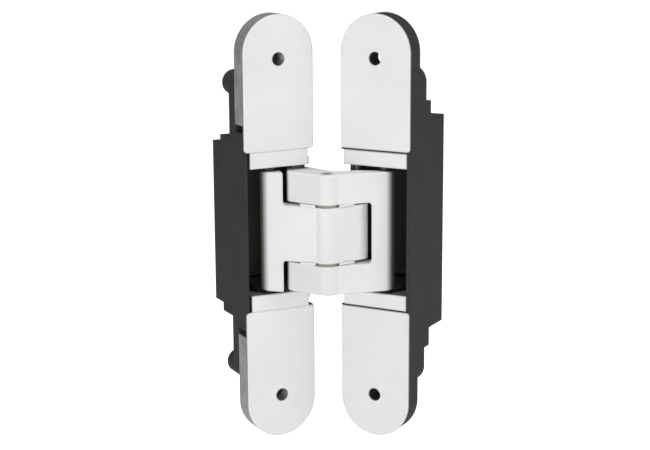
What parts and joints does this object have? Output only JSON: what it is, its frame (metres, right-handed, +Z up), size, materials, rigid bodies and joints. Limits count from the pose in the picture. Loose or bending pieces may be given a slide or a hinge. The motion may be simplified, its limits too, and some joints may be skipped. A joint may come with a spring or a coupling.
{
  "type": "concealed door hinge",
  "caption": "Concealed door hinge with two round-ended leaves, deep black housings, pinned double arms that fold into pockets, and screw holes in the covers.",
  "frame": {"origin": "middle of the jamb leaf's visible face plane", "axes": "+Z up along the leaves, -Y out of the jamb leaf's face, +X towards the opening side of the jamb"},
  "size_m": [0.0785, 0.0581, 0.16],
  "materials": {
    "white_coat": "satin",
    "zinc": "as cast",
    "black_housing": "matt",
    "steel": "ground",
    "bearing_plastic": "matt",
    "dark_bearing": "matt"
  },
  "bodies": {
    "jamb": {"jamb_housing": "black_housing", "jamb_upper_anchor": "zinc", "jamb_lower_anchor": "zinc", "jamb_upper_cover": "white_coat", "jamb_lower_cover": "white_coat", "jamb_clamp_screws": "steel", "jamb_upper_cheek": "white_coat", "jamb_lower_cheek": "white_coat", "jamb_cheek_screws": "steel", "jamb_pivot_pin": "steel"},
    "fork": {"fork_arm": "white_coat", "fork_slide_pin": "steel", "fork_slide_bushes": "dark_bearing", "fork_pivot_bushes": "dark_bearing", "centre_pin": "steel", "upper_knuckle_washer": "bearing_plastic", "lower_knuckle_washer": "bearing_plastic"},
    "tongue": {"tongue_arm": "white_coat", "tongue_slide_pin": "steel", "tongue_slide_bushes": "dark_bearing", "tongue_pivot_bush": "dark_bearing", "centre_bushes": "bearing_plastic"},
    "door": {"door_housing": "black_housing", "door_upper_cover": "white_coat", "door_lower_cover": "white_coat", "door_upper_cheek": "white_coat", "door_lower_cheek": "white_coat", "door_cheek_screws": "steel", "door_pivot_pin": "steel", "door_pivot_spacers": "steel"}
  },
  "joints": [
    {"name": "fork_swing", "type": "hinge", "parent": "jamb", "child": "fork", "pos_m": [0.009, 0.0045, 0], "axis": [0, 0, 1], "range_deg": [-80.55, 35.44]},
    {"name": "knuckle_turn", "type": "hinge", "parent": "fork", "child": "tongue", "pos_m": [0.0133, -0.0123, 0], "axis": [0, 0, 1], "range_deg": [-15.88, 36.1]},
    {"name": "door_swing", "type": "hinge", "parent": "tongue", "child": "door", "pos_m": [0.02953, -0.00619, 0], "axis": [0, 0, 1], "range_deg": [-80.55, 35.44]}
  ],
  "couplings": [
    {"joint": "knuckle_turn", "follows": "fork_swing", "ratio": -0.44817},
    {"joint": "door_swing", "follows": "fork_swing", "ratio": 1}
  ]
}
